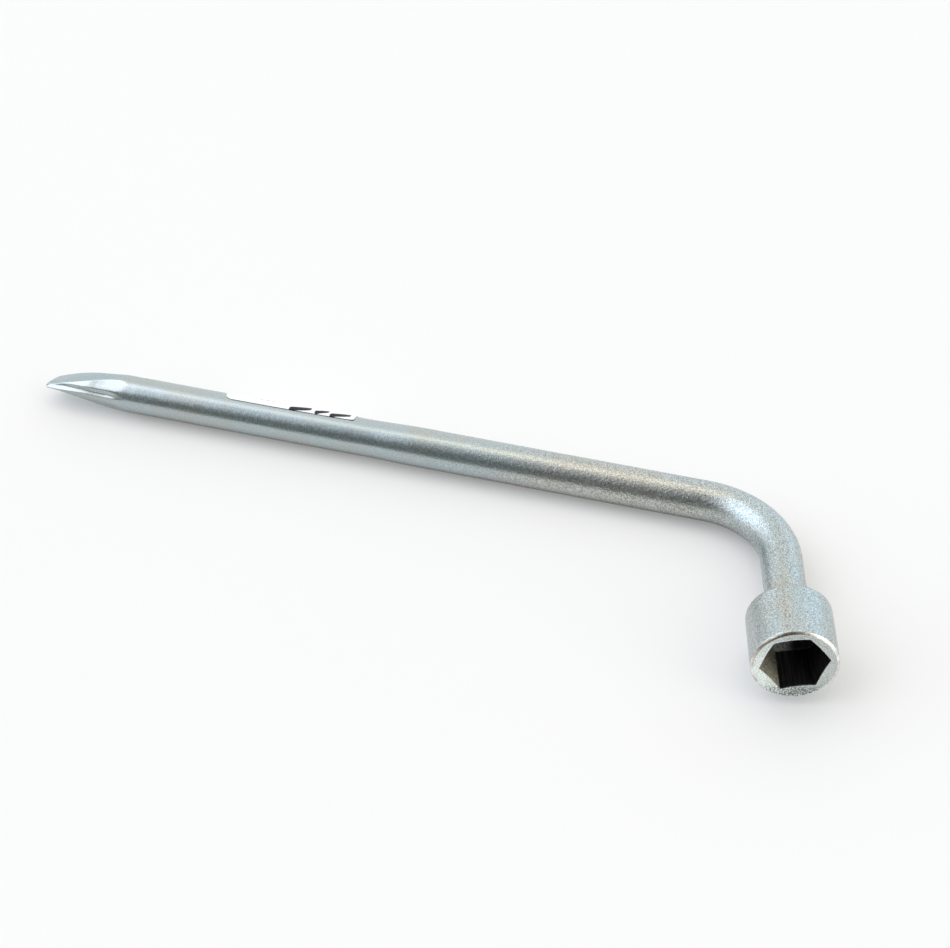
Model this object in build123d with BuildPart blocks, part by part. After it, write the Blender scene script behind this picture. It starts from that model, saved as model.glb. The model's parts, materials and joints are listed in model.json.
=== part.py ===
"""L-shaped lug wrench: a bent round bar with a pry blade at one end and a hex socket at the other.

Frame: the origin is the centre of the socket's mouth. +X runs from the pry blade towards the bend,
parallel to the handle, and +Z is up as the wrench lies on the ground, on the underside of its
handle and the rear bottom rim of its socket. The mouth faces -Y, turned a little to +X and up.
Millimetres and degrees.
"""

import os
from math import asin, cos, pi, radians, sin, sqrt

from build123d import *

# Socket
NUT_ACROSS_FLATS = 19.0
HEX_CLEARANCE = 0.3  # added to the nut's width across flats
SOCKET_DIAMETER = 28.0
SOCKET_LENGTH = 23.0
RECESS_DEPTH = 17.6  # full hex, down to the corners of the floor
FLOOR_DISH = 0.7  # how much deeper the middle of the floor is
MOUTH_CHAMFER = 0.8
MOUTH_DISH_RADIUS = 13.0
MOUTH_DISH_DEPTH = 4.8  # depth of the shallow lead-in cone's tip, were it whole
REAR_EDGE_RADIUS = 0.8
HEX_TURN = 12.6  # a corner's angle from the plane of the bent bar

# Bar
BAR_DIAMETER = 14.0
SEAT_DEPTH = 2.5  # how far the bar goes into the back of the socket
NECK_LENGTH = 28.3  # straight, from the back of the socket to the bend
BEND_RADIUS = 30.0  # of the bar's centreline
SOCKET_TO_HANDLE = 102.8  # angle between the mouth's direction and the handle
HANDLE_LENGTH = 241.8  # straight, from the bend to the end of the blade
SLIM_DIAMETER = 13.3  # of the handle behind the blade, where the label is
SLIM_LENGTH = 120.0  # from the blade's end
TAPER_LENGTH = 20.0  # from the slim diameter to the full one

# Pry blade: the end of the bar, pressed between two dies and rolled about the handle's axis, the
# mouth's side up. Each section: distance from the blade's end, height of its middle, then
# half-width and height at the edge of its flat top, at the shoulder below that, at the hollow
# above the parting ridge and at the ridge. Its underside is as wide as its top and the hollow.
BLADE_ROLL = 14.0
BLADE_SECTIONS = [
    (-1.0, -1.4, (3.9, 0.6), (4.1, 0.5), (4.2, 0.3), (4.7, -0.2)),
    (3.0, -1.0, (4.4, 1.1), (4.6, 1.0), (4.7, 0.5), (5.4, -0.3)),
    (7.0, -0.5, (4.5, 2.0), (5.0, 1.7), (5.1, 0.8), (6.2, -0.3)),
    (10.0, -0.3, (4.6, 2.6), (5.4, 2.0), (5.4, 0.8), (6.5, -0.3)),
    (14.0, -0.2, (4.3, 3.5), (6.0, 2.2), (5.6, 0.8), (6.6, -0.3)),
    (20.0, -0.4, (3.3, 5.0), (6.1, 2.5), (5.7, 0.8), (6.6, -0.3)),
    (25.0, -0.5, (2.6, 5.8), (6.2, 2.7), (5.9, 0.8), (6.6, -0.3)),
    (36.0, 0.0, (3.6, 7.5), (7.2, 4.0), (8.0, 0.8), (8.2, -0.3)),
]
BLADE_STOCK = 34.0  # length of bar that the blade is formed from
# Seen square to its flat top, the blade's end: a tight corner on the mouth's side, a wide one beyond
NEAR_CORNER = (-0.1, -4.7)
NEAR_CORNER_RADIUS = 0.8
FAR_CORNER = (1.6, 4.9)
FAR_CORNER_RADIUS = 4.0

# Weld and label
WELD_LEG = 2.0
WELD_CROWN = 0.35  # how far the bead bulges past a straight fillet
LABEL_THICKNESS = 0.15
LABEL_LENGTH = 48.0
LABEL_FROM_BLADE_END = 67.5
LABEL_EDGES = (-40.0, 91.0)  # around the bar, counted from +Y towards +Z

# Values that follow
MARGIN = 5.0  # how far trimming shapes reach past the bar
hex_apothem = (NUT_ACROSS_FLATS + HEX_CLEARANCE) / 2
socket_radius = SOCKET_DIAMETER / 2
bar_radius = BAR_DIAMETER / 2
slim_radius = SLIM_DIAMETER / 2
outside = bar_radius + MARGIN
turn = 180 - SOCKET_TO_HANDLE  # how much the bar is bent
axis_angle = radians(SOCKET_TO_HANDLE)
neck_reach = (SOCKET_LENGTH + NECK_LENGTH) * sin(axis_angle)
handle_offset = neck_reach + BEND_RADIUS * (1 + cos(axis_angle))  # from the mouth to the handle's axis


def resting_tilt():
    """The turn about the handle, in radians, that puts the socket's rounded rear rim on the ground.

    With s the turn's sine, the rim's underside is level with the handle's when
    (arm * s + drop) ** 2 == rim_radius ** 2 * (1 - (sin(axis_angle) * s) ** 2).
    """
    rim_centre = (SOCKET_LENGTH - REAR_EDGE_RADIUS) * sin(axis_angle)
    arm = handle_offset - rim_centre
    drop = bar_radius - REAR_EDGE_RADIUS
    rim_radius = socket_radius - REAR_EDGE_RADIUS
    square_term = arm**2 + (rim_radius * sin(axis_angle)) ** 2
    root = sqrt((arm * drop) ** 2 - square_term * (drop**2 - rim_radius**2))
    return asin((root - arm * drop) / square_term)


def floor_depth(radius):
    """Depth of the recess's spherical floor below the mouth at a given distance from the axis."""
    corner = hex_apothem / cos(pi / 6)
    sphere = (corner**2 + FLOOR_DISH**2) / (2 * FLOOR_DISH)
    return RECESS_DEPTH + FLOOR_DISH - sphere + sqrt(sphere**2 - radius**2)


tilt = resting_tilt()
tool_plane = Plane(origin=(0, 0, 0), x_dir=(1, 0, 0), z_dir=(0, sin(tilt), cos(tilt)))
into_socket = tool_plane.x_dir * cos(axis_angle) + tool_plane.y_dir * sin(axis_angle)
across_socket = tool_plane.x_dir * sin(axis_angle) - tool_plane.y_dir * cos(axis_angle)
mouth_plane = Plane(origin=(0, 0, 0), x_dir=across_socket, z_dir=-into_socket)
section_plane = Plane(origin=(0, 0, 0), x_dir=across_socket, z_dir=tool_plane.z_dir)
socket_axis = Axis((0, 0, 0), into_socket)

# Centreline of the full-size round bar, from its end inside the socket to the handle's taper
with BuildLine(tool_plane) as centreline:
    seat_depth = SOCKET_LENGTH - SEAT_DEPTH
    bar_start = (seat_depth * cos(axis_angle), seat_depth * sin(axis_angle))
    neck = PolarLine(bar_start, SEAT_DEPTH + NECK_LENGTH, SOCKET_TO_HANDLE)
    bend = JernArc(neck @ 1, neck % 1, BEND_RADIUS, turn)
    grip = PolarLine(bend @ 1, HANDLE_LENGTH - TAPER_LENGTH - SLIM_LENGTH, 180)

blade_end = bend @ 1 - Vector(HANDLE_LENGTH, 0, 0)
handle_plane = Plane(origin=blade_end, x_dir=(1, 0, 0), z_dir=tool_plane.z_dir)
handle_axis = Axis(blade_end, (1, 0, 0))
blade_plane = handle_plane.rotated((-BLADE_ROLL, 0, 0))

# Pry blade: the pressed end of the round bar, cut to its end's outline
with BuildPart() as blade:
    for distance, middle, face, shoulder, hollow, ridge in BLADE_SECTIONS:
        station = blade_end + (distance, 0, 0) + tool_plane.z_dir * middle
        with BuildSketch(Plane(origin=station, x_dir=blade_plane.y_dir, z_dir=(1, 0, 0))):
            lower_shoulder = (hollow[0], -shoulder[1])
            right = [face, shoulder, hollow, ridge, lower_shoulder, (face[0], -face[1])]
            left = [(-side, height) for side, height in reversed(right)]
            with BuildLine():
                Polyline(*right, *left, close=True)
            make_face()
    loft(ruled=True)
    with BuildSketch(Plane(origin=blade_end, z_dir=(1, 0, 0))):
        Circle(slim_radius)
    extrude(amount=BLADE_STOCK, mode=Mode.INTERSECT)
    with BuildSketch(blade_plane):
        with BuildLine():
            corners = [(BLADE_STOCK, -outside), NEAR_CORNER, FAR_CORNER, (BLADE_STOCK, outside)]
            FilletPolyline(*corners, radius=(NEAR_CORNER_RADIUS, FAR_CORNER_RADIUS))
            Line(corners[-1], corners[0])
        make_face()
    extrude(amount=outside, both=True, mode=Mode.INTERSECT)

# Round bar, bent once, from the seat in the socket to the blade, and slimmer along its last stretch
with BuildPart() as handle_bar:
    with BuildSketch(Plane(origin=centreline.line @ 0, z_dir=centreline.line % 0)):
        Circle(bar_radius)
    sweep(path=centreline.line)
    with BuildSketch(handle_plane):
        with BuildLine():
            full_from = SLIM_LENGTH + TAPER_LENGTH
            slim = [(BLADE_STOCK, 0), (BLADE_STOCK, slim_radius), (SLIM_LENGTH, slim_radius)]
            Polyline(*slim, (full_from, bar_radius), (full_from, 0), close=True)
        make_face()
    revolve(axis=handle_axis)
    add(blade.part)
handle_bar.part.label = "handle_bar"

# Space for the nut: a hexagon with a shallow dished floor
with BuildPart() as nut_space:
    with BuildSketch(mouth_plane):
        RegularPolygon(hex_apothem, 6, major_radius=False, rotation=HEX_TURN)
    extrude(amount=-(RECESS_DEPTH + FLOOR_DISH))
    with BuildSketch(section_plane):
        with BuildLine():
            floor_edge, half_way, floor_middle = (
                (radius, floor_depth(radius)) for radius in (socket_radius, socket_radius / 2, 0)
            )
            ThreePointArc(floor_edge, half_way, floor_middle)
            Polyline(floor_middle, (0, 0), (socket_radius, 0), floor_edge)
        make_face()
    revolve(axis=socket_axis, mode=Mode.INTERSECT)

# Socket: a short cylinder, chamfered and dished at the mouth, with a seat for the bar at the back
with BuildPart() as socket_head:
    with BuildSketch(mouth_plane):
        Circle(socket_radius)
    extrude(amount=-SOCKET_LENGTH)
    front_rim, rear_rim = socket_head.edges().filter_by(GeomType.CIRCLE).sort_by(socket_axis)
    chamfer(front_rim, MOUTH_CHAMFER)
    fillet(rear_rim, REAR_EDGE_RADIUS)
    with BuildSketch(section_plane):
        with BuildLine():
            Polyline((0, 0), (MOUTH_DISH_RADIUS, 0), (0, MOUTH_DISH_DEPTH), close=True)
        make_face()
    revolve(axis=socket_axis, mode=Mode.SUBTRACT)
    add(nut_space.part, mode=Mode.SUBTRACT)
    with BuildSketch(mouth_plane.offset(-SOCKET_LENGTH)):
        Circle(bar_radius)
    extrude(amount=SEAT_DEPTH, mode=Mode.SUBTRACT)
socket_head.part.label = "socket_head"

# Weld bead in the corner between the neck and the back of the socket
with BuildPart() as weld_ring:
    with BuildSketch(section_plane):
        with BuildLine():
            on_socket = (bar_radius + WELD_LEG, SOCKET_LENGTH)
            on_bar = (bar_radius, SOCKET_LENGTH + WELD_LEG)
            bulge = WELD_LEG / 2 + WELD_CROWN
            Polyline(on_bar, (bar_radius, SOCKET_LENGTH), on_socket)
            ThreePointArc(on_socket, (bar_radius + bulge, SOCKET_LENGTH + bulge), on_bar)
        make_face()
    revolve(axis=socket_axis)
weld_ring.part.label = "weld_ring"

# Paper price label, wrapped part of the way round the handle
with BuildPart() as price_label:
    label_start = blade_end + Vector(LABEL_FROM_BLADE_END, 0, 0)
    with BuildSketch(Plane(origin=label_start, x_dir=(0, 1, 0), z_dir=(1, 0, 0))):
        first, last = LABEL_EDGES
        with BuildLine():
            inside = CenterArc((0, 0), slim_radius, first, last - first)
            over = CenterArc((0, 0), slim_radius + LABEL_THICKNESS, first, last - first)
            Line(inside @ 0, over @ 0)
            Line(inside @ 1, over @ 1)
        make_face()
    extrude(amount=LABEL_LENGTH)
price_label.part.label = "price_label"

os.makedirs("parts", exist_ok=True)
for piece in (handle_bar, socket_head, weld_ring, price_label):
    export_step(piece.part, f"parts/{piece.part.label}.step")
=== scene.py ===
import json
import math

import bpy
import numpy as np
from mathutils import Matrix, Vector, noise


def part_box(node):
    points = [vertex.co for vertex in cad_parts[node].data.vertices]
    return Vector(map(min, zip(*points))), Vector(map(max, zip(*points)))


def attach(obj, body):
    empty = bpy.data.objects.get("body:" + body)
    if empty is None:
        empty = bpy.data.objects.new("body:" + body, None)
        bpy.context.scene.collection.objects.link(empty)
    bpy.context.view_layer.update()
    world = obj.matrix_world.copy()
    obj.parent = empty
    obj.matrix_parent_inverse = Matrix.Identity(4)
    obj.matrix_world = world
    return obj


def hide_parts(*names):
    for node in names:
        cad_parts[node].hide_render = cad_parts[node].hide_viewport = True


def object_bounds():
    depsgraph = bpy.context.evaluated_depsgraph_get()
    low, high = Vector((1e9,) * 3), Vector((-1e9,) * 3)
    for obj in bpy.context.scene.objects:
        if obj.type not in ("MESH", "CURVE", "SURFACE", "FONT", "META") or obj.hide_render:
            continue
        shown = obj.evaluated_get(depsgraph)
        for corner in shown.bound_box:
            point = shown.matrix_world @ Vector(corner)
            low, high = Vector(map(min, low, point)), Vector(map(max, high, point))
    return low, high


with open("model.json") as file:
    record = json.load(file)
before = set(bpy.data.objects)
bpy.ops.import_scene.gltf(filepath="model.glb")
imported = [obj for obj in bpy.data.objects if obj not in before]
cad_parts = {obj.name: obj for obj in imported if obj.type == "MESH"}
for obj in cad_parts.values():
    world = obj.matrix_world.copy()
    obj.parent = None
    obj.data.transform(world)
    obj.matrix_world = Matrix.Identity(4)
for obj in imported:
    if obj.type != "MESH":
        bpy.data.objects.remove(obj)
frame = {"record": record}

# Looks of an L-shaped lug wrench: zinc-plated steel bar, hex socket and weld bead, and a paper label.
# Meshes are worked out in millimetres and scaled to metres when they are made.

cad_box = [list(corner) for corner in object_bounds()]
MM = 0.001

# ---------------------------------------------------------------- the frame, in millimetres

BEND_RADIUS = 30.0
SLIM_RADIUS = 6.65  # of the bar along its last stretch
SLIM_LENGTH = 120.0
TAPER_LENGTH = 20.0
SOCKET_LENGTH = 23.0
BAR_SEAT = 2.4  # how far the bar reaches into the socket's back

mounts = {mount["name"]: mount for mount in frame["record"]["mounts"]}
X_AXIS = np.array((1.0, 0.0, 0.0))
out = np.array(mounts["nut_socket"]["axis"])
out /= np.linalg.norm(out)
into = -out
across = X_AXIS - (X_AXIS @ into) * into
across /= np.linalg.norm(across)
normal = np.cross(across, into)  # of the plane that the bar is bent in, upwards
far = np.cross(normal, X_AXIS)  # in that plane, square to the handle, away from the mouth

handle_axis = np.array(mounts["grip_bar"]["pos_m"]) / MM
bar_radius = mounts["grip_bar"]["dims"]["r_mm"]
socket_radius = mounts["socket_outside"]["dims"]["r_mm"]
recess_depth = mounts["nut_socket"]["dims"]["length_mm"]
bend_turn = math.acos(X_AXIS @ out)
corner = into * handle_axis[1] / into[1]  # where the socket's axis meets the handle's
bend_start = corner - BEND_RADIUS * math.tan(bend_turn / 2) * X_AXIS
mouth_to_bend = np.linalg.norm(corner) - BEND_RADIUS * math.tan(bend_turn / 2)
handle_length = bend_start[0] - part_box("handle_bar")[0].x / MM
bend_length = BEND_RADIUS * bend_turn
floor_level = cad_box[0][2]


def smooth_step(value, low, high):
    """0 below low, 1 above high and a smooth ramp between them."""
    share = np.clip((np.asarray(value, float) - low) / (high - low), 0.0, 1.0)
    return share * share * (3 - 2 * share)


def smooth_curve(at, stations, values):
    """A smooth curve through the values at the stations."""
    stations, values = np.asarray(stations, float), np.asarray(values, float)
    slopes = np.gradient(values, stations)
    at = np.clip(at, stations[0], stations[-1])
    index = np.clip(np.searchsorted(stations, at) - 1, 0, len(stations) - 2)
    step = stations[index + 1] - stations[index]
    u = (at - stations[index]) / step
    ends = values[index] * (1 + 2 * u) * (1 - u) ** 2 + values[index + 1] * (3 - 2 * u) * u**2
    lean = slopes[index] * u * (1 - u) ** 2 - slopes[index + 1] * (1 - u) * u**2
    return ends + step * lean


def lumps(points, size, seed):
    """Smooth noise between about -1 and 1 at each point, with bumps of the given size."""
    shift = Vector((seed * 17.3, seed * 5.1, seed * 11.7))
    return np.array([noise.noise(Vector(point) / size + shift) for point in points])


def centreline(distance):
    """Point and outward side of the bar at a distance from the blade's end."""
    past = distance - handle_length
    if past <= 0:
        return bend_start + past * X_AXIS, far
    angle = min(past / BEND_RADIUS, bend_turn)
    side = math.cos(angle) * far + math.sin(angle) * X_AXIS
    along = math.cos(angle) * X_AXIS - math.sin(angle) * far
    point = bend_start - BEND_RADIUS * far + BEND_RADIUS * side
    return point + max(past - bend_length, 0.0) * along, side


def slimness(distance):
    """1 along the handle's slim end, 0 along the rest of the bar."""
    return 1.0 - smooth_step(distance, SLIM_LENGTH, SLIM_LENGTH + TAPER_LENGTH)


def radius_at(distance):
    """Radius of the round bar at a distance from the blade's end."""
    return bar_radius + (SLIM_RADIUS - bar_radius) * slimness(distance)


def middle_height(distance):
    """How far the bar's middle is above the handle's axis at a distance from the blade's end."""
    return float(smooth_curve(distance, MIDDLE_STATIONS, MIDDLE_HEIGHT))


def make_mesh(name, points, faces, attributes, stands_for):
    """A smooth-shaded piece from points in millimetres, in place of a node of the frame."""
    mesh = bpy.data.meshes.new(name)
    mesh.from_pydata((np.asarray(points) * MM).tolist(), [], faces)
    mesh.polygons.foreach_set("use_smooth", [True] * len(mesh.polygons))
    for label, values in attributes.items():
        values = np.asarray(values, np.float32)
        kind, key = ("FLOAT_VECTOR", "vector") if values.ndim == 2 else ("FLOAT", "value")
        mesh.attributes.new(label, kind, "POINT").data.foreach_set(key, values.ravel())
    mesh.validate()
    piece = bpy.data.objects.new(name, mesh)
    bpy.context.scene.collection.objects.link(piece)
    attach(piece, "root")
    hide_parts(stands_for)
    return piece


def with_end_points(rings):
    """The values of all the rings in one list, then the means of the first and the last ring."""
    return np.concatenate(rings + [[rings[0].mean(0), rings[-1].mean(0)]])


def ring_faces(rings, around):
    """Quads between successive closed rings of points, with a fan at each end."""
    faces = []
    for ring in range(rings - 1):
        base = ring * around
        for i in range(around):
            j = (i + 1) % around
            faces.append((base + i, base + j, base + around + j, base + around + i))
    first_end = rings * around
    faces += [((i + 1) % around, i, first_end) for i in range(around)]
    base = (rings - 1) * around
    faces += [(base + i, base + (i + 1) % around, first_end + 1) for i in range(around)]
    return faces


# ---------------------------------------------------------------- bar and pry blade

# The blade is pressed between two dies and rolled about the handle's axis, the mouth's side up. One
# side of its section at distances from the blade's end, as (half-width, height) in the blade's own
# frame: the edge of its flat top, the shoulder, the hollow above the parting ridge, and the ridge.
# Its underside is as wide as its top and the hollow.
BLADE_ROLL = math.radians(14.0)
BLADE_STATIONS = (0.0, 3.0, 7.0, 10.0, 14.0, 17.0, 20.0, 24.0, 28.0, 34.0)
FACE_WIDTH = (4.0, 4.4, 4.5, 4.6, 4.3, 4.0, 3.3, 2.7, 2.6, 3.4)
FACE_HEIGHT = (0.65, 1.1, 1.95, 2.6, 3.5, 4.2, 4.95, 5.65, 6.15, 7.2)
SHOULDER_WIDTH = (4.15, 4.6, 4.9, 5.4, 6.0, 6.15, 6.15, 6.2, 6.3, 7.0)
SHOULDER_HEIGHT = (0.6, 1.0, 1.65, 2.0, 2.1, 2.2, 2.35, 2.55, 2.8, 3.6)
HOLLOW_WIDTH = (4.2, 4.7, 5.05, 5.35, 5.55, 5.65, 5.7, 5.8, 6.35, 7.6)
RIDGE_WIDTH = (4.8, 5.4, 6.25, 6.5, 6.6, 6.6, 6.6, 6.6, 6.65, 7.8)
BLADE_LENGTH = BLADE_STATIONS[-1]
HOLLOW_HEIGHT = 0.75
RIDGE_HEIGHT = -0.35  # of the ridge's tip, a little below the blade's middle
FACE_CROWN = 0.12  # how much the flat faces bulge in their middle
# Height of the bar's and the blade's middle above the handle's axis
MIDDLE_STATIONS = (0.0, 3.0, 7.0, 10.0, 14.0, 17.0, 20.0, 24.0, 30.0, 45.0, 90.0, 140.0)
MIDDLE_HEIGHT = (-1.35, -1.0, -0.5, -0.3, -0.15, -0.2, -0.35, -0.4, -0.35, -0.32, -0.28, 0.0)
# Seen square to its face, the blade's end: its edges on the mouth's side and on the far side
NOSE_STATIONS = (0.0, 0.3, 0.6, 1.0, 1.5, 2.4, 3.5, 5.0)
NOSE_NEAR = (-4.3, -4.6, -4.7, -4.8, -4.9, -5.15, -5.45, -5.8)
NOSE_FAR = (-3.0, -0.7, 1.1, 2.8, 4.0, 4.9, 5.4, 5.8)
NOSE_ROUNDING = 0.4  # how far back the end's thickness takes to reach its full value
NOSE_THINNEST = 0.3  # share of the full thickness at the very end
SPANS = (14, 14, 10, 4, 8, 4, 8, 10, 12)  # points along each stretch of a side of a section
AROUND = 2 * sum(SPANS)
ROUNDING_REACH = 1.3  # how far the corners of a section are rounded, in points
EDGE_SOFTNESS = 0.3  # where the blade's outline runs out into the round bar
LUMP_HEIGHT = 0.035
LUMP_SIZE = 9.0
SEAM_ANGLE = math.radians(106.0)  # of the parting line on the neck, from across towards the normal
# Where the bar's surface changes, as distances from the blade's end
PRESSED_END = (20.0, 34.0)  # the blade's pressed faces fade out
UNDERSIDE_SHADE_START = (22.0, 40.0)  # the painted shade on the underside fades in
GRAIN_START = (110.0, 235.0)  # the blasted grain fades in
WARM_REFLECTION_START = (150.0, 200.0)  # the painted warm reflection on the mouth's side fades in
WARM_REFLECTION_END = (236.0, 256.0)
PARTING_START = (22.0, 60.0)  # from the handle's end: the parting line fades in


def blade_outline(distance):
    """Closed section of the blade as (side, height) points, starting at the middle of its top."""
    face, height, shoulder, shoulder_height, hollow, ridge = (
        float(smooth_curve(min(distance, BLADE_LENGTH), BLADE_STATIONS, values))
        for values in (FACE_WIDTH, FACE_HEIGHT, SHOULDER_WIDTH, SHOULDER_HEIGHT, HOLLOW_WIDTH,
                       RIDGE_WIDTH)
    )
    ridge_height = max(RIDGE_HEIGHT, -0.5 * shoulder_height)
    hollow_height = min(HOLLOW_HEIGHT, 0.8 * shoulder_height)
    corners = [
        (0.0, height + FACE_CROWN),
        (face, height),
        (shoulder, shoulder_height),
        (hollow, hollow_height),
        (hollow + 0.25 * (ridge - hollow), 0.4 * hollow_height),
        (ridge, ridge_height),
        (ridge - 0.3 * (ridge - hollow), ridge_height - 0.5 * hollow_height),
        (hollow, -shoulder_height),
        (face, -height),
        (0.0, -height - FACE_CROWN),
    ]
    side = []
    for start, end, count in zip(corners, corners[1:], SPANS):
        share = np.arange(count)[:, None] / count
        side.append(np.asarray(start) * (1 - share) + np.asarray(end) * share)
    side = np.concatenate(side + [[corners[-1]]])
    return np.concatenate([side, (side * (-1.0, 1.0))[-2:0:-1]])


def round_corners(points):
    """Average each point of a closed outline with its neighbours."""
    shifts = np.arange(-4, 5)
    weights = np.exp(-0.5 * (shifts / ROUNDING_REACH) ** 2)
    weights /= weights.sum()
    return sum(w * np.roll(points, shift, axis=0) for w, shift in zip(weights, shifts))


def bar_section(distance):
    """Section of the bar as (side, height) points: the blade's outline, held inside a circle."""
    radius = radius_at(distance)
    points = blade_outline(distance)
    reach = np.linalg.norm(points, axis=1)
    h = np.clip(0.5 + 0.5 * (radius - reach) / EDGE_SOFTNESS, 0.0, 1.0)
    held = radius + (reach - radius) * h - EDGE_SOFTNESS * h * (1 - h)
    points = points * (held / reach)[:, None]
    if distance < BLADE_LENGTH:
        points = round_corners(points)
    if distance < NOSE_STATIONS[-1]:
        width = np.abs(points[:, 0]).max()
        near = smooth_curve(distance, NOSE_STATIONS, NOSE_NEAR)
        far_edge = smooth_curve(distance, NOSE_STATIONS, NOSE_FAR)
        blend = smooth_step(distance, NOSE_STATIONS[-1] - 2.5, NOSE_STATIONS[-1])
        near += (-width - near) * blend
        far_edge += (width - far_edge) * blend
        points[:, 0] = near + (points[:, 0] + width) / (2 * width) * (far_edge - near)
        share = min(distance / NOSE_ROUNDING, 1.0)
        points[:, 1] *= NOSE_THINNEST + (1 - NOSE_THINNEST) * math.sqrt(1 - (1 - share) ** 2)
    side = points[:, 0] * math.cos(BLADE_ROLL) + points[:, 1] * math.sin(BLADE_ROLL)
    height = points[:, 1] * math.cos(BLADE_ROLL) - points[:, 0] * math.sin(BLADE_ROLL)
    return np.column_stack([side, height + middle_height(distance)])


def bar_stations():
    """Distances from the blade's end of the rings of points, closest where the shape changes."""
    neck_end = handle_length + bend_length + mouth_to_bend - SOCKET_LENGTH + BAR_SEAT
    nose = [0.0, 0.03, 0.08, 0.15, 0.25, 0.38, 0.5, 0.65, 0.8, 1.0, 1.25, 1.5, 1.8, 2.15]
    blade = np.arange(2.5, BLADE_LENGTH + 1, 0.6)
    handle = np.arange(BLADE_LENGTH + 2, handle_length, 1.6)
    head = np.linspace(handle_length, neck_end, 90)
    return np.concatenate([nose, blade, handle, head])


def bar_marks(distance, section, outward):
    """What the bar's material reads at each point of a section, by attribute."""
    angle = np.arctan2(section[:, 1], section[:, 0])
    step = np.arange(AROUND // 2 + 1)
    flat = np.where((step <= SPANS[0]) | (step >= step[-1] - SPANS[-1]), 1.0, 0.0)
    flat = np.concatenate([flat, flat[-2:0:-1]])
    near_bend = smooth_step(distance, *WARM_REFLECTION_START) * (1 - smooth_step(distance, *WARM_REFLECTION_END))
    return {
        "straight": np.column_stack([np.full(AROUND, distance), section]),
        "seam": bar_radius * (angle - SEAM_ANGLE),
        "parting": np.full(AROUND, smooth_step(distance - handle_length, *PARTING_START)),
        "grain": np.full(AROUND, smooth_step(distance, *GRAIN_START)),
        "pressed": flat * (1 - smooth_step(distance, *PRESSED_END)),
        # a painted warm reflection near the bend, strongest on the mouth's side
        "warm_reflection": near_bend * (0.15 + 0.45 * smooth_step(-section[:, 0], -2.0, 4.0)),
        # painted shade on the underside, standing in for the shadowed floor that it reflects
        "under": smooth_step(-outward[:, 1], 0.4, 0.75) * smooth_step(distance, *UNDERSIDE_SHADE_START),
    }


def build_bar():
    """The bar from the blade's nose to its end inside the socket, as one closed skin."""
    stations = bar_stations()
    rings, marks = [], []
    for distance in stations:
        centre, side = centreline(distance)
        section = bar_section(distance)
        ring = centre + section[:, :1] * side + section[:, 1:] * normal
        spoke = section - section.mean(0)
        outward = spoke / np.maximum(np.linalg.norm(spoke, axis=1), 1e-6)[:, None]
        mark = bar_marks(distance, section, outward)
        place = mark["straight"]
        height = LUMP_HEIGHT * lumps(place, LUMP_SIZE, 1) + 0.4 * LUMP_HEIGHT * lumps(place, 3.5, 2)
        height *= smooth_step(distance, 0.0, 12.0)
        ring += height[:, None] * (outward[:, :1] * side + outward[:, 1:] * normal)
        rings.append(ring)
        marks.append(mark)
    points = with_end_points(rings)
    attributes = {name: with_end_points([mark[name] for mark in marks]) for name in marks[0]}
    faces = ring_faces(len(stations), AROUND)
    return make_mesh("wrench_bar", points, faces, attributes,
                     stands_for="handle_bar")


# ---------------------------------------------------------------- socket

HEX_CLEARANCE = 0.3
NUT_ACROSS_FLATS = 19.0
HEX_TURN = math.radians(12.6)  # a corner's angle from the plane of the bent bar
HEX_CORNER_RADIUS = 0.5
CORNER_CUT = 0.155  # how far rounding takes a hexagon's corner back, as a share of the radius
CORNER_SOFTNESS = 0.15
BARE_WALL = HEX_TURN + math.radians(210.0)  # the middle of the one wall that is free of scale
SCORCH_ANGLE = math.radians(128.0)  # the middle of the mouth chamfer's dark stretch
FLOOR_DISH = 0.7
MOUTH_CHAMFER = 0.8
MOUTH_FLAT_RADIUS = 13.0  # where the shallow lead-in cone starts
MOUTH_SLOPE = 0.37  # of the lead-in cone
RIM_DEPTH = 0.03  # of the cone's rim behind the mouth's plane
REAR_ROUNDING = 0.8
HEX_EDGE_ROUNDING = 0.35
SOCKET_AROUND = 288


def hexagon_reach(angle):
    """Distance from the axis to the recess's wall, with its corners slightly rounded."""
    apothem = (NUT_ACROSS_FLATS + HEX_CLEARANCE) / 2
    from_flat = (angle - HEX_TURN) % (math.pi / 3) - math.pi / 6
    sharp = apothem / np.cos(from_flat)
    limit = apothem / math.cos(math.pi / 6) - CORNER_CUT * HEX_CORNER_RADIUS
    h = np.clip(0.5 + 0.5 * (limit - sharp) / CORNER_SOFTNESS, 0.0, 1.0)
    return limit + (sharp - limit) * h - CORNER_SOFTNESS * h * (1 - h)


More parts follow.
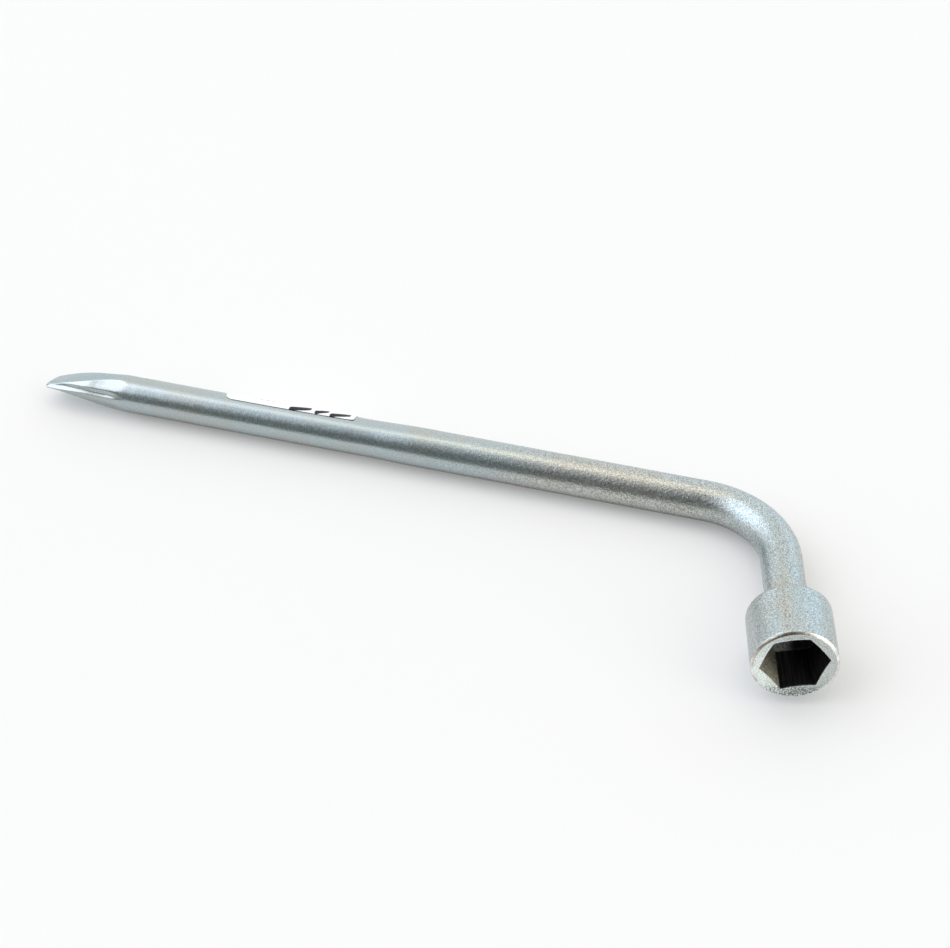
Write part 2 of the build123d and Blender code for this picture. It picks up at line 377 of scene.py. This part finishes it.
def socket_rows():
    """Rings of the socket's skin, from the middle of its back, round the outside and down into the
    recess to the middle of its floor: (radii, depths, zone) with zone 0 outside, 1 chamfer,
    2 mouth face, 3 recess wall, 4 recess floor."""
    angle = np.arange(SOCKET_AROUND) * 2 * math.pi / SOCKET_AROUND
    circle = np.stack([np.cos(angle), np.sin(angle), np.zeros_like(angle)], axis=1)
    hexagon = hexagon_reach(angle)
    wobble = lumps(circle, 0.35, 5)
    rows = []

    def add(radius, depth, zone):
        rows.append((np.broadcast_to(radius, angle.shape), np.broadcast_to(depth, angle.shape), zone))

    for radius in (6.0, 9.0, 12.0, socket_radius - REAR_ROUNDING):
        add(radius, SOCKET_LENGTH, 0)
    for turn in np.linspace(0.2, 1.0, 5) * math.pi / 2:
        add(socket_radius - REAR_ROUNDING * (1 - math.sin(turn)),
            SOCKET_LENGTH - REAR_ROUNDING * (1 - math.cos(turn)), 0)
    chamfer = MOUTH_CHAMFER * (1 + 0.22 * wobble)
    for share in np.linspace(0.03, 1.0, 30):
        add(socket_radius, SOCKET_LENGTH - REAR_ROUNDING - share * (
            SOCKET_LENGTH - REAR_ROUNDING - chamfer - 0.12), 0)
    add(socket_radius - 0.05, chamfer, 0.5)
    add(socket_radius - 0.15, chamfer - 0.1, 1)
    for share in (0.3, 0.6, 0.85):
        add(socket_radius - chamfer * share, chamfer * (1 - share), 1)
    add(socket_radius - chamfer, 0.04, 1)
    add(MOUTH_FLAT_RADIUS + 0.02, RIM_DEPTH, 1.5)
    edge = hexagon + HEX_EDGE_ROUNDING
    for share in (0.03, 0.25, 0.5, 0.75, 1.0):
        radius = MOUTH_FLAT_RADIUS + (edge - MOUTH_FLAT_RADIUS) * share
        add(radius, (MOUTH_FLAT_RADIUS - radius) * MOUTH_SLOPE + RIM_DEPTH, 2)
    edge_depth = (MOUTH_FLAT_RADIUS - edge) * MOUTH_SLOPE + RIM_DEPTH
    for turn in np.linspace(0.25, 1.0, 4) * math.pi / 2:
        zone = 2 if turn < 0.6 else 3
        add(edge - HEX_EDGE_ROUNDING * math.sin(turn),
            edge_depth + HEX_EDGE_ROUNDING * (1 - math.cos(turn)), zone)
    wall_top = edge_depth + HEX_EDGE_ROUNDING
    for share in np.linspace(0.04, 1.0, 26):
        add(hexagon, wall_top + share * (recess_depth - 0.3 - wall_top), 3)
    for share in (0.97, 0.93, 0.8, 0.6, 0.4, 0.2, 0.08):
        add(hexagon * share, recess_depth + FLOOR_DISH * (1 - share**2), 4)
    return angle, rows


def build_socket():
    """The socket as one closed skin, with the zones that its material reads."""
    angle, rows = socket_rows()
    points, straight, zones = [], [], []
    for radius, depth, zone in rows:
        flat = np.stack([radius * np.cos(angle), radius * np.sin(angle)], axis=1)
        place = np.column_stack([depth, flat])
        if zone < 1:
            swell = 0.03 * lumps(place, 6.0, 3) + 0.012 * lumps(place, 1.6, 4)
            flat = flat * (1 + swell / socket_radius)[:, None]
        elif zone >= 3:
            flat = flat * (1 + 0.02 * lumps(place, 2.5, 6) / socket_radius)[:, None]
        points.append(depth[:, None] * into + flat[:, :1] * across + flat[:, 1:] * normal)
        straight.append(place)
        zones.append(np.full(SOCKET_AROUND, zone, float))
    points = with_end_points(points)
    place = with_end_points(straight)
    zone = with_end_points(zones)
    around = np.arctan2(place[:, 2], place[:, 1])
    wall_turn = (around - BARE_WALL + math.pi) % (2 * math.pi) - math.pi
    bare_wall_lit_floor = 1 - smooth_step(np.abs(wall_turn) * 6 / math.pi + 0.04 * lumps(place, 1.5, 9), 0.93, 1.0)
    # on the recess's floor the mask picks one side instead, painted bright as if lit; the other side
    # is painted dark as in shade
    bare_wall_lit_floor = np.where(zone > 3.5, 1 - smooth_step(place[:, 1], -1.5, 2.5), bare_wall_lit_floor)
    scorched = 1 - smooth_step(np.abs(around - SCORCH_ANGLE), 0.35, 0.95)
    attributes = {
        "straight": place,
        "seam": socket_radius * (around - SEAM_ANGLE),
        "parting": np.ones(len(points)),
        "zone": zone,
        "bare_wall_lit_floor": bare_wall_lit_floor,
        "scorched": scorched,
        "grain": np.ones(len(points)),
    }
    faces = ring_faces(len(rows), SOCKET_AROUND)
    return make_mesh("socket_body", points, faces, attributes,
                     stands_for="socket_head")


# ---------------------------------------------------------------- weld bead

WELD_LEG = 2.0
WELD_CROWN = 0.3
WELD_AROUND = 180
WELD_ACROSS = 12
WELD_RIPPLES = 26
WELD_SINK = 0.6  # how far its hidden corner is inside the bar, and half that inside the socket
WELD_OVERLAP = 0.02  # how far its two edges reach into the bar and the socket


def build_weld():
    """A rippled bead in the corner between the neck and the socket's back."""
    points, straight = [], []
    for i in range(WELD_AROUND):
        angle = 2 * math.pi * i / WELD_AROUND
        spoke = math.cos(angle) * across + math.sin(angle) * normal
        wave = (WELD_RIPPLES * angle / (2 * math.pi)) % 1.0
        ripple = 0.09 * (wave**2 - 0.4)
        leg = WELD_LEG * (0.95 + 0.04 * math.sin(3 * angle + 1) + 0.02 * math.sin(7 * angle))
        hidden = -WELD_SINK / 2
        outline = [(bar_radius - WELD_SINK, hidden), (bar_radius + leg, hidden)]
        for share in np.linspace(0.0, 1.0, WELD_ACROSS - len(outline)):
            bulge = (WELD_CROWN + ripple) * math.sin(math.pi * share) - WELD_OVERLAP
            outline.append((bar_radius + leg * (1 - share) + bulge, leg * share + bulge))
        for radial, depth in outline:
            level = SOCKET_LENGTH + depth
            points.append(level * into + radial * spoke)
            straight.append((level, radial * math.cos(angle), radial * math.sin(angle)))
    faces = []
    for i in range(WELD_AROUND):
        a, b = i * WELD_ACROSS, (i + 1) % WELD_AROUND * WELD_ACROSS
        for j in range(WELD_ACROSS):
            k = (j + 1) % WELD_ACROSS
            faces.append((a + j, a + k, b + k, b + j))
    attributes = {"straight": np.array(straight), "grain": np.ones(len(points))}
    return make_mesh("weld_bead", points, faces, attributes,
                     stands_for="weld_ring")


# ---------------------------------------------------------------- price label

LABEL_START = 67.5  # distance from the blade's end
LABEL_LENGTH = 48.0
LABEL_FAR_EDGE = math.radians(-32.0)  # around the bar, from far towards the normal
LABEL_NEAR_EDGE = 96.8  # where the label starts, in degrees
LABEL_SKEW = 4.5  # how much less that is where it ends, in degrees
LABEL_CORNER = 2.6
LABEL_END_CORNER = 0.8
LABEL_LIFT = 0.04
LABEL_PAPER = 0.09
LABEL_PEEL = 0.12  # how far its last near corner stands off the bar
LABEL_COLUMNS = 241
LABEL_ROWS = 97
PRINT_SPAN = (8.0, 22.5)  # of the row of grey dashes, from the label's start
PRINT_ROW = 4.1  # its distance from the near edge
PEN_WIDTH = 1.5
PEN_NIB = 0.55  # width of a stroke along the bar, as a share of its width round the bar
# Pen strokes, as (distance from the label's start, distance from its near edge), in millimetres
PEN_STROKES = (
    ((24.7, 0.7), (31.0, 2.6)),
    ((34.0, 1.2), (37.4, 2.8)),
    ((39.6, 0.9), (45.4, 2.8)),
)


def near_edge(u):
    """Angle of the label's near edge, which runs a little askew, at u from the label's start."""
    return math.radians(LABEL_NEAR_EDGE - LABEL_SKEW * (u / LABEL_LENGTH) ** 2)


def distance_to_stroke(u, w, stroke):
    """Distance from points (u, w) to a line through the stroke's points."""
    nearest = np.full(np.shape(u), 1e3)
    for (u0, w0), (u1, w1) in zip(stroke, stroke[1:]):
        length_squared = (u1 - u0) ** 2 + (w1 - w0) ** 2
        share = np.clip(((u - u0) * (u1 - u0) + (w - w0) * (w1 - w0)) / length_squared, 0, 1)
        gap = np.hypot(u - u0 - share * (u1 - u0), PEN_NIB * (w - w0 - share * (w1 - w0)))
        nearest = np.minimum(nearest, gap)
    return nearest


def build_label():
    """A paper strip wrapped round the far side of the bar, with generic pen marks."""
    points, place = [], []
    for i in range(LABEL_COLUMNS):
        u = LABEL_LENGTH * i / (LABEL_COLUMNS - 1)
        distance = LABEL_START + u
        centre, side = centreline(distance)
        centre = centre + middle_height(distance) * normal
        radius = radius_at(distance) + LABEL_LIFT + LABEL_PAPER
        edge = near_edge(u)
        corner_gap = max(LABEL_CORNER - u, 0.0)
        inset = (LABEL_CORNER - math.sqrt(LABEL_CORNER**2 - corner_gap**2)) / radius
        if u > LABEL_LENGTH - LABEL_END_CORNER:
            inset = (u - LABEL_LENGTH + LABEL_END_CORNER) ** 2 / radius
        first, last = edge - inset, LABEL_FAR_EDGE + inset
        peel = LABEL_PEEL * smooth_step(u, LABEL_LENGTH - 3.0, LABEL_LENGTH)
        for j in range(LABEL_ROWS):
            angle = first + (last - first) * j / (LABEL_ROWS - 1)
            w = radius * (edge - angle)
            reach = radius + peel * (1 - smooth_step(w, 0, 3))
            points.append(centre + reach * (math.cos(angle) * side + math.sin(angle) * normal))
            place.append((u, w, 0.0))
    place = np.array(place)
    u, w = place[:, 0], place[:, 1]
    wobble = 0.10 * lumps(place, 1.2, 8)
    gap = np.min([distance_to_stroke(u, w, stroke) for stroke in PEN_STROKES], axis=0)
    ink = 1 - smooth_step(gap + wobble, PEN_WIDTH / 2 - 0.12, PEN_WIDTH / 2 + 0.12)
    in_row = (np.abs(w - PRINT_ROW + 0.03 * u) < 0.5) & (u > PRINT_SPAN[0]) & (u < PRINT_SPAN[1])
    dashes = in_row & (np.sin(u * 2.6) > -0.1)
    attributes = {"straight": place, "ink": ink, "print": dashes.astype(float)}
    faces = []
    for i in range(LABEL_COLUMNS - 1):
        for j in range(LABEL_ROWS - 1):
            a = i * LABEL_ROWS + j
            faces.append((a, a + 1, a + LABEL_ROWS + 1, a + LABEL_ROWS))
    piece = make_mesh("label", points, faces, attributes,
                      stands_for="price_label")
    paper = piece.modifiers.new("paper", "SOLIDIFY")
    paper.thickness = LABEL_PAPER * MM
    paper.offset = -1
    return piece


# ---------------------------------------------------------------- materials


class Shader:
    """Short calls for the nodes of one material."""

    def __init__(self, name):
        self.material = bpy.data.materials.new(name)
        self.material.use_nodes = True
        self.tree = self.material.node_tree
        self.surface = self.tree.nodes["Principled BSDF"]

    def node(self, kind, inputs=(), **settings):
        node = self.tree.nodes.new(kind)
        for key, value in settings.items():
            setattr(node, key, value)
        for key, value in dict(inputs).items():
            self.set(node.inputs[key], value)
        return node

    def set(self, socket, value):
        if isinstance(value, bpy.types.NodeSocket):
            self.tree.links.new(value, socket)
        else:
            socket.default_value = value

    def attribute(self, name, output="Fac"):
        return self.node("ShaderNodeAttribute", attribute_name=name).outputs[output]

    def math(self, operation, *values):
        node = self.node("ShaderNodeMath", operation=operation)
        for socket, value in zip(node.inputs, values):
            self.set(socket, value)
        return node.outputs[0]

    def noise(self, vector, scale, detail=2.0, roughness=0.5):
        inputs = {"Vector": vector, "Scale": scale, "Detail": detail, "Roughness": roughness}
        return self.node("ShaderNodeTexNoise", inputs).outputs["Fac"]

    def stretch(self, vector, scale):
        node = self.node("ShaderNodeMapping", {"Vector": vector})
        node.inputs["Scale"].default_value = scale
        return node.outputs[0]

    def ramp(self, value, low, high, to_low=0.0, to_high=1.0, kind="SMOOTHSTEP"):
        inputs = {"Value": value, "From Min": low, "From Max": high, "To Min": to_low,
                  "To Max": to_high}
        return self.node("ShaderNodeMapRange", inputs, interpolation_type=kind).outputs["Result"]

    def band(self, value, start, full, fade, end):
        """1 from full to fade, and 0 before start and after end."""
        return self.math("MULTIPLY", self.ramp(value, start, full), self.ramp(value, fade, end, 1, 0))

    def mix(self, factor, first, second, blend="MIX"):
        node = self.node("ShaderNodeMix", data_type="RGBA", blend_type=blend)
        self.set(node.inputs[0], factor)
        self.set(node.inputs[6], first)
        self.set(node.inputs[7], second)
        return node.outputs[2]

    def bump(self, height, distance, strength=1.0, after=None):
        inputs = {"Height": height, "Distance": distance, "Strength": strength}
        if after is not None:
            inputs["Normal"] = after
        return self.node("ShaderNodeBump", inputs).outputs["Normal"]


ZINC = (0.459, 0.530, 0.545, 1)
ZINC_WARM = (0.497, 0.473, 0.420, 1)
ZINC_DARK = (0.17, 0.17, 0.165, 1)
PRESSED_FACE_SHADE = (0.82, 0.905, 0.95, 1)  # painted shade on the blade's pressed faces: darker and bluer, as what they reflect
UNDERSIDE_SHADE_TINT = (0.36, 0.34, 0.30, 1)  # painted shade on the bar's underside, standing in for the shadowed floor that it reflects
SEAM_BROWN = (0.24, 0.18, 0.13, 1)
SEAM_TINT = (1.0, 0.90, 0.80, 1)  # the zinc's shade beside the parting line
TURNED_STEEL = (0.76, 0.82, 0.79, 1)
BRIGHT_EDGE = (0.88, 0.89, 0.87, 1)
WORN_EDGE = (0.42, 0.37, 0.29, 1)
SCORCHED_EDGE = (0.30, 0.28, 0.25, 1)
OXIDE_DARK = (0.26, 0.24, 0.17, 1)
OXIDE = (0.62, 0.59, 0.47, 1)
SCALE_DARK = (0.035, 0.037, 0.042, 1)
SCALE_GREY = (0.09, 0.085, 0.08, 1)
WHITE = (0.97, 0.97, 0.97, 1)
PAPER_WHITE = (0.90, 0.90, 0.90, 1)
PAPER_SOILED = (0.84, 0.83, 0.80, 1)
PRINT_GREY = (0.30, 0.31, 0.36, 1)
PEN_INK = (0.008, 0.007, 0.018, 1)
GRAIN_DEPTH = 0.12 * MM
STREAK_DEPTH = 0.02 * MM
PARTING_HEIGHT = 0.10 * MM


def zinc_color(shader, place, grain, fine):
    """Cool grey with warmer clouds, mottled by the grain, warmer by the parting line; painted shade
    below and on the pressed faces, and a warm painted reflection near the bend.
    """
    cloud = shader.noise(place, 0.06, 3.0)
    clouds = shader.ramp(cloud, 0.45, 0.62, 0.0, 0.3)
    pressed = shader.attribute("pressed")
    clouds = shader.math("MULTIPLY", clouds, shader.ramp(pressed, 0.0, 1.0, 1.0, 0.2))
    color = shader.mix(clouds, ZINC, ZINC_WARM)
    # painted reflection: warmer near the bend, mostly on the mouth's side
    color = shader.mix(shader.attribute("warm_reflection"), color, ZINC_WARM)
    # painted shade: the pressed faces darker and bluer than the rest of the zinc
    color = shader.mix(1.0, color, shader.mix(pressed, WHITE, PRESSED_FACE_SHADE), "MULTIPLY")
    # painted shade: the underside darkened as the shadowed floor that it reflects
    underside_shade = shader.mix(shader.attribute("under"), WHITE, UNDERSIDE_SHADE_TINT)
    color = shader.mix(1.0, color, underside_shade, "MULTIPLY")
    mottle = shader.ramp(fine, 0.38, 0.62, 0.0, 1.0, "LINEAR")
    dark = shader.ramp(grain, 0.0, 1.0, 0.94, 0.62, "LINEAR")
    light = shader.ramp(grain, 0.0, 1.0, 1.05, 1.40, "LINEAR")
    color = shader.mix(1.0, color, shader.ramp(mottle, 0.0, 1.0, dark, light, "LINEAR"), "MULTIPLY")
    beside = shader.ramp(shader.math("ABSOLUTE", shader.attribute("seam")), 0.8, 3.6, 0.45, 0.0)
    beside = shader.math("MULTIPLY", beside, shader.attribute("parting"))
    tint = shader.mix(beside, WHITE, SEAM_TINT)
    return shader.mix(1.0, color, tint, "MULTIPLY")


def parting_line(shader, place):
    """A thin, broken line where the forging dies met."""
    wander = shader.ramp(shader.noise(place, 0.45, 2.0), 0.3, 0.7, -0.4, 0.4, "LINEAR")
    gap = shader.math("ABSOLUTE", shader.math("ADD", shader.attribute("seam"), wander))
    broken = shader.ramp(shader.noise(place, 0.3, 2.0), 0.45, 0.62, 0.05, 0.55)
    broken = shader.math("MULTIPLY", broken, shader.attribute("parting"))
    return shader.math("MULTIPLY", shader.ramp(gap, 0.05, 0.5, 1.0, 0.0), broken)


def worn_back_edge(shader, place, worn, color):
    """The plate worn off round the socket's back edge."""
    depth = shader.node("ShaderNodeSeparateXYZ", {"Vector": place}).outputs["X"]
    edge = shader.band(depth, SOCKET_LENGTH - 1.0, SOCKET_LENGTH - 0.6, SOCKET_LENGTH - 0.4,
                       SOCKET_LENGTH - 0.05)
    edge = shader.math("MULTIPLY", edge, shader.ramp(worn, 0.0, 1.0, 0.25, 0.7))
    outside = shader.ramp(shader.attribute("zone"), 0.0, 0.4, 1.0, 0.0)
    return shader.mix(shader.math("MULTIPLY", edge, outside), color, WORN_EDGE)


def chamfer_color(shader, place, worn, flecks):
    """The mouth's chamfer: bright, with a scorched stretch at its top and speckles on one side."""
    side = shader.node("ShaderNodeSeparateXYZ", {"Vector": place}).outputs["Y"]
    bright = shader.mix(shader.math("MULTIPLY", worn, 0.5), BRIGHT_EDGE, WORN_EDGE)
    scorched = shader.mix(worn, SCORCHED_EDGE, WORN_EDGE)
    edge = shader.mix(shader.attribute("scorched"), bright, scorched)
    speckle = shader.ramp(flecks, 0.40, 0.60, 0.72, 1.08, "LINEAR")
    speckled = shader.ramp(side, 2.0, 8.0, 1.0, 0.0)
    speckle = shader.ramp(speckled, 0.0, 1.0, 1.0, speckle, "LINEAR")
    return shader.mix(1.0, edge, speckle, "MULTIPLY")


def mouth_color(shader, place, fine, flecks):
    """The turned face round the hexagon: lighter to one side, darker to the other, and pitted along
    its bottom.
    """
    axes = shader.node("ShaderNodeSeparateXYZ", {"Vector": place}).outputs
    tone = shader.ramp(fine, 0.36, 0.60, 0.74, 1.12, "LINEAR")
    side_tone = shader.ramp(axes["Y"], -10.0, 12.0, 1.10, 0.72, "LINEAR")
    tone = shader.math("MULTIPLY", tone, side_tone)
    pits = shader.ramp(flecks, 0.42, 0.58, 0.45, 1.15, "LINEAR")
    pitted = shader.ramp(axes["Z"], -11.0, -8.0, 1.0, 0.0)
    tone = shader.math("MULTIPLY", tone, shader.ramp(pitted, 0.0, 1.0, 1.0, pits, "LINEAR"))
    return shader.mix(1.0, TURNED_STEEL, tone, "MULTIPLY")


def wall_color(shader, place, bare_wall_lit_floor, flecks):
    """The recess's walls: black scale, and rusty oxide on the one wall free of scale."""
    axial = shader.noise(shader.stretch(place, (0.08, 2.2, 2.2)), 1.0, 3.0)
    scale = shader.mix(shader.ramp(axial, 0.35, 0.65), SCALE_DARK, SCALE_GREY)
    oxide = shader.mix(shader.ramp(flecks, 0.38, 0.60), OXIDE_DARK, OXIDE)
    return shader.mix(bare_wall_lit_floor, scale, oxide)


def bottom_color(shader, bare_wall_lit_floor, fine, flecks):
    """The recess's floor: one side painted bright as if lit, the other painted dark as in shade."""
    painted_lit_side = shader.mix(shader.ramp(flecks, 0.34, 0.50), ZINC_DARK, WHITE)
    painted_shaded_side = shader.mix(shader.ramp(fine, 0.44, 0.62), SCALE_DARK, SCALE_GREY)
    return shader.mix(bare_wall_lit_floor, painted_shaded_side, painted_lit_side)


def zinc_material(name, zones=False):
    """Zinc plate over blasted steel: fine grain, drawn streaks and a faint parting line. With
    zones, also the socket's worn rims, its turned mouth and its scaly recess."""
    shader = Shader(name)
    place = shader.attribute("straight", "Vector")
    grain = shader.attribute("grain")
    fine = shader.noise(place, 2.8, 1.0)
    coarse = shader.noise(place, 0.9, 2.0)
    streaks = shader.noise(shader.stretch(place, (0.05, 1.6, 1.6)), 1.0, 3.0)
    seam = parting_line(shader, place)
    color = zinc_color(shader, place, grain, fine)
    color = shader.mix(seam, color, SEAM_BROWN)
    roughness = shader.ramp(coarse, 0.3, 0.7, 0.20, 0.30, "LINEAR")
    roughness = shader.math("ADD", roughness, shader.math("MULTIPLY", grain, 0.03))
    grain_height = shader.math("ADD", shader.math("MULTIPLY", fine, 0.8), coarse)
    grain_share = shader.ramp(grain, 0.0, 1.0, 0.16, 1.0, "LINEAR")

    if zones:
        zone = shader.attribute("zone")
        bare_wall_lit_floor = shader.attribute("bare_wall_lit_floor")
        worn = shader.ramp(shader.noise(place, 0.5, 2.0), 0.42, 0.60)
        flecks = shader.noise(place, 1.9, 1.0)
        chamfer = shader.band(zone, 0.4, 0.9, 1.3, 1.8)
        mouth = shader.band(zone, 1.4, 1.9, 2.2, 2.9)
        recess = shader.ramp(zone, 2.3, 3.0)
        bottom = shader.ramp(zone, 3.3, 4.0)
        color = worn_back_edge(shader, place, worn, color)
        color = shader.mix(chamfer, color, chamfer_color(shader, place, worn, flecks))
        color = shader.mix(mouth, color, mouth_color(shader, place, fine, flecks))
        color = shader.mix(recess, color, wall_color(shader, place, bare_wall_lit_floor, flecks))
        color = shader.mix(bottom, color, bottom_color(shader, bare_wall_lit_floor, fine, flecks))

        oxidised = shader.math("MULTIPLY", recess, bare_wall_lit_floor)
        metallic = shader.ramp(oxidised, 0.0, 1.0, 1.0, 0.05, "LINEAR")
        shader.set(shader.surface.inputs["Metallic"], metallic)
        roughness = shader.math("ADD", roughness, shader.math("MULTIPLY", recess, 0.18))
        roughness = shader.math("SUBTRACT", roughness, shader.math("MULTIPLY", chamfer, 0.08))
        smoothed = shader.math("MULTIPLY", chamfer, 0.8)
        grain_share = shader.math("SUBTRACT", grain_share, smoothed)
    else:
        shader.surface.inputs["Metallic"].default_value = 1.0

    bump = shader.bump(grain_height, GRAIN_DEPTH, grain_share)
    bump = shader.bump(streaks, STREAK_DEPTH, 1.0, bump)
    bump = shader.bump(seam, PARTING_HEIGHT, 1.0, bump)
    shader.set(shader.surface.inputs["Base Color"], color)
    shader.set(shader.surface.inputs["Roughness"], roughness)
    shader.set(shader.surface.inputs["Normal"], bump)
    return shader.material


def paper_material():
    """White label paper with fibres, a faint grey print and blue-black pen ink."""
    shader = Shader("label_paper")
    place = shader.attribute("straight", "Vector")
    fibres = shader.noise(shader.stretch(place, (1.0, 2.5, 1.0)), 2.2, 4.0, 0.6)
    soiling = shader.noise(place, 0.12, 3.0)
    white = shader.mix(shader.ramp(soiling, 0.4, 0.7), PAPER_WHITE, PAPER_SOILED)
    white = shader.mix(1.0, white, shader.ramp(fibres, 0.3, 0.7, 0.97, 1.02, "LINEAR"), "MULTIPLY")
    faded = shader.math("MULTIPLY", shader.attribute("print"), shader.ramp(fibres, 0.3, 0.7, 0.3, 0.8))
    color = shader.mix(faded, white, PRINT_GREY)
    ink = shader.math("MULTIPLY", shader.attribute("ink"), shader.ramp(fibres, 0.2, 0.5, 0.85, 1.0))
    color = shader.mix(ink, color, PEN_INK)
    shader.set(shader.surface.inputs["Base Color"], color)
    shader.set(shader.surface.inputs["Roughness"], shader.ramp(ink, 0.0, 1.0, 0.55, 0.42, "LINEAR"))
    shader.surface.inputs["Specular IOR Level"].default_value = 0.2
    shader.set(shader.surface.inputs["Normal"], shader.bump(fibres, 0.01 * MM))
    return shader.material


def finish_with(piece, material):
    """Give a piece its one material."""
    piece.data.materials.clear()
    piece.data.materials.append(material)


# ---------------------------------------------------------------- studio

CAMERA_AIM = (-0.1223, 0.0716)  # where the middle of the view meets the floor
CAMERA_DISTANCE = 0.7205
CAMERA_AZIMUTH = -14.787
CAMERA_ELEVATION = 45.546
LENS = 77.48
SENSOR = 36.0


def direction(azimuth, elevation):
    """Unit vector at a compass angle from +Y towards +X and a height above the horizon."""
    azimuth, elevation = math.radians(azimuth), math.radians(elevation)
    level = math.cos(elevation)
    return Vector((math.sin(azimuth) * level, math.cos(azimuth) * level, math.sin(elevation)))


def place_camera():
    """A camera above the mouth's side, with the whole wrench in view."""
    data = bpy.data.cameras.new("camera")
    data.lens = LENS
    data.sensor_width = SENSOR
    data.clip_start = 0.01
    camera = bpy.data.objects.new("camera", data)
    looking = direction(CAMERA_AZIMUTH, -CAMERA_ELEVATION)
    camera.location = Vector((*CAMERA_AIM, floor_level)) - CAMERA_DISTANCE * looking
    camera.rotation_euler = looking.to_track_quat("-Z", "Y").to_euler()
    bpy.context.scene.collection.objects.link(camera)
    bpy.context.scene.camera = camera


# Soft panels of light round the wrench: azimuth, elevation, where it starts to fade and where it
# ends, in degrees, and the colour that it blends the surroundings towards
PANELS = (
    (-84, 50, 16, 26, (2.50, 2.57, 2.80)),  # window on the left
    (38, 6, 10, 42, (1.24, 1.36, 1.46)),  # blue sky behind on the right
    (118, 25, 8, 40, (3.0, 2.95, 2.75)),  # window on the right
    (2, 75, 5, 18, (2.30, 2.05, 1.68)),  # overhead softbox
    (172, 27, 6, 80, (0.165, 0.18, 0.175)),  # the dark room behind the camera
    (-107, 38, 22, 33, (2.20, 2.31, 2.55)),  # the window's lower half, beside the dark
)
SKY = (1.12, 1.12, 1.11)
BACKDROP = (0.955, 0.955, 0.95)


def build_surroundings():
    """A world that lights and reflects as a bright room with a dark side behind the camera."""
    world = bpy.data.worlds.new("studio")
    world.use_nodes = True
    bpy.context.scene.world = world
    tree = world.node_tree
    tree.nodes.clear()

    def add(kind, **settings):
        node = tree.nodes.new(kind)
        for key, value in settings.items():
            setattr(node, key, value)
        return node

    toward = add("ShaderNodeTexCoord").outputs["Generated"]
    color = None
    for azimuth, elevation, inner, outer, tint in PANELS:
        dot = add("ShaderNodeVectorMath", operation="DOT_PRODUCT")
        dot.inputs[1].default_value = direction(azimuth, elevation)
        tree.links.new(toward, dot.inputs[0])
        reach = add("ShaderNodeMapRange", interpolation_type="SMOOTHSTEP")
        reach.inputs["From Min"].default_value = math.cos(math.radians(outer))
        reach.inputs["From Max"].default_value = math.cos(math.radians(inner))
        tree.links.new(dot.outputs["Value"], reach.inputs["Value"])
        mix = add("ShaderNodeMix", data_type="RGBA")
        tree.links.new(reach.outputs["Result"], mix.inputs[0])
        if color is None:
            mix.inputs[6].default_value = (*SKY, 1)
        else:
            tree.links.new(color, mix.inputs[6])
        mix.inputs[7].default_value = (*tint, 1)
        color = mix.outputs[2]
    around = add("ShaderNodeBackground")
    tree.links.new(color, around.inputs["Color"])
    seen = add("ShaderNodeBackground")
    seen.inputs["Color"].default_value = (*BACKDROP, 1)
    choose = add("ShaderNodeMixShader")
    path = add("ShaderNodeLightPath")
    tree.links.new(path.outputs["Is Camera Ray"], choose.inputs[0])
    tree.links.new(around.outputs[0], choose.inputs[1])
    tree.links.new(seen.outputs[0], choose.inputs[2])
    output = add("ShaderNodeOutputWorld")
    tree.links.new(choose.outputs[0], output.inputs["Surface"])


FLOOR_COLOR = (0.640, 0.637, 0.631, 1)
FLOOR_GLOW = 0.34


def build_floor():
    """A pale light table under the wrench, with a faint unevenness."""
    half = 4.0
    mesh = bpy.data.meshes.new("floor")
    corners = [(-half, -half), (half, -half), (half, half), (-half, half)]
    mesh.from_pydata([(x, y, floor_level) for x, y in corners], [], [(0, 1, 2, 3)])
    floor = bpy.data.objects.new("floor", mesh)
    bpy.context.scene.collection.objects.link(floor)
    shader = Shader("floor")
    place = shader.node("ShaderNodeTexCoord").outputs["Object"]
    tone = shader.ramp(shader.noise(place, 3.0, 2.0), 0.3, 0.7, 0.985, 1.0, "LINEAR")
    color = shader.mix(1.0, FLOOR_COLOR, tone, "MULTIPLY")
    shader.set(shader.surface.inputs["Base Color"], color)
    shader.surface.inputs["Emission Color"].default_value = FLOOR_COLOR
    shader.surface.inputs["Emission Strength"].default_value = FLOOR_GLOW
    shader.surface.inputs["Roughness"].default_value = 0.7
    shader.surface.inputs["Specular IOR Level"].default_value = 0.2
    mesh.materials.append(shader.material)


bpy.context.scene.view_settings.view_transform = "Standard"
bar = build_bar()
socket = build_socket()
weld = build_weld()
label = build_label()
finish_with(bar, zinc_material("bar_zinc"))
finish_with(socket, zinc_material("socket_zinc", zones=True))
finish_with(weld, zinc_material("weld_zinc"))
finish_with(label, paper_material())
build_floor()
build_surroundings()
place_camera()
